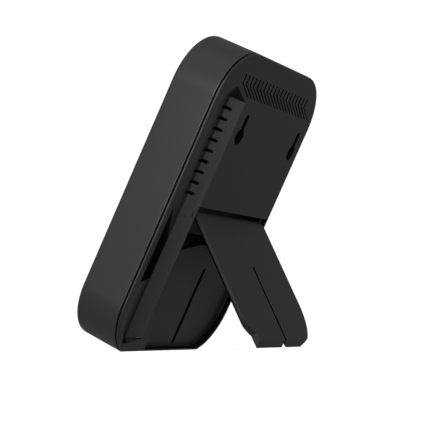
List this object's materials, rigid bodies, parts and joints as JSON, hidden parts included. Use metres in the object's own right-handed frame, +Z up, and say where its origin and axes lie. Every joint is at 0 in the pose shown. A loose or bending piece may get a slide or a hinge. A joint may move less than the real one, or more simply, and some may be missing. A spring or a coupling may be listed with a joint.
{
  "type": "digital photo frame",
  "caption": "Portrait digital photo frame with a rounded black case that leans back on a hinged stand flap, with a lead recess, vents and hanging slots in its back.",
  "frame": {"origin": "centre of the underside of the bounding box, on the surface the frame stands on", "axes": "+X across the frame towards the side with the lead recess, +Y towards the back where the stand is, +Z up; the screen faces -Y and upwards"},
  "size_m": [0.105, 0.0844, 0.1323],
  "materials": {
    "shell_plastic": "satin moulded",
    "cover_plastic": "fine-grained moulded",
    "flap_plastic": "fine-grained moulded",
    "glass": "polished, dark behind",
    "screen": "glossy dark",
    "white_sheet": "milky",
    "foam": "matt foam",
    "steel": "plated sheet",
    "resin": "moulded",
    "board": "satin lacquer",
    "chip": "moulded",
    "ribbon": "satin film",
    "black_steel": "black oxide"
  },
  "bodies": {
    "frame_body": {"front_shell": "shell_plastic", "front_glass": "glass", "foam_gasket": "foam", "lcd_panel": "screen", "light_guide": "white_sheet", "display_tray": "steel", "chassis_plate": "resin", "chassis_screw_1": "steel", "chassis_screw_2": "steel", "chassis_screw_3": "steel", "chassis_screw_4": "steel", "main_board": "board", "board_screw_1": "steel", "board_screw_2": "steel", "board_screw_3": "steel", "board_screw_4": "steel", "processor_shield": "steel", "memory_chip": "chip", "wireless_module": "steel", "ribbon_connector": "white_sheet", "display_ribbon": "ribbon", "port_board": "board", "usb_socket": "steel", "power_socket": "chip", "speaker": "chip", "button_switch": "chip", "button_board": "board", "card_socket": "steel", "rear_cover": "cover_plastic", "hinge_pin": "black_steel"},
    "stand": {"stand_flap": "flap_plastic"},
    "button": {"power_button": "cover_plastic"}
  },
  "joints": [
    {"name": "stand_hinge", "type": "hinge", "parent": "frame_body", "child": "stand", "pos_m": [0, 0.006, 0.05761], "axis": [1, 0, 0], "range_deg": [-52, 0]},
    {"name": "button_press", "type": "slide", "parent": "frame_body", "child": "button", "axis": [1, 0, 0], "range_m": [0, 0.0008], "stiffness_N_per_m": 800, "springref_m": -0.0004}
  ]
}
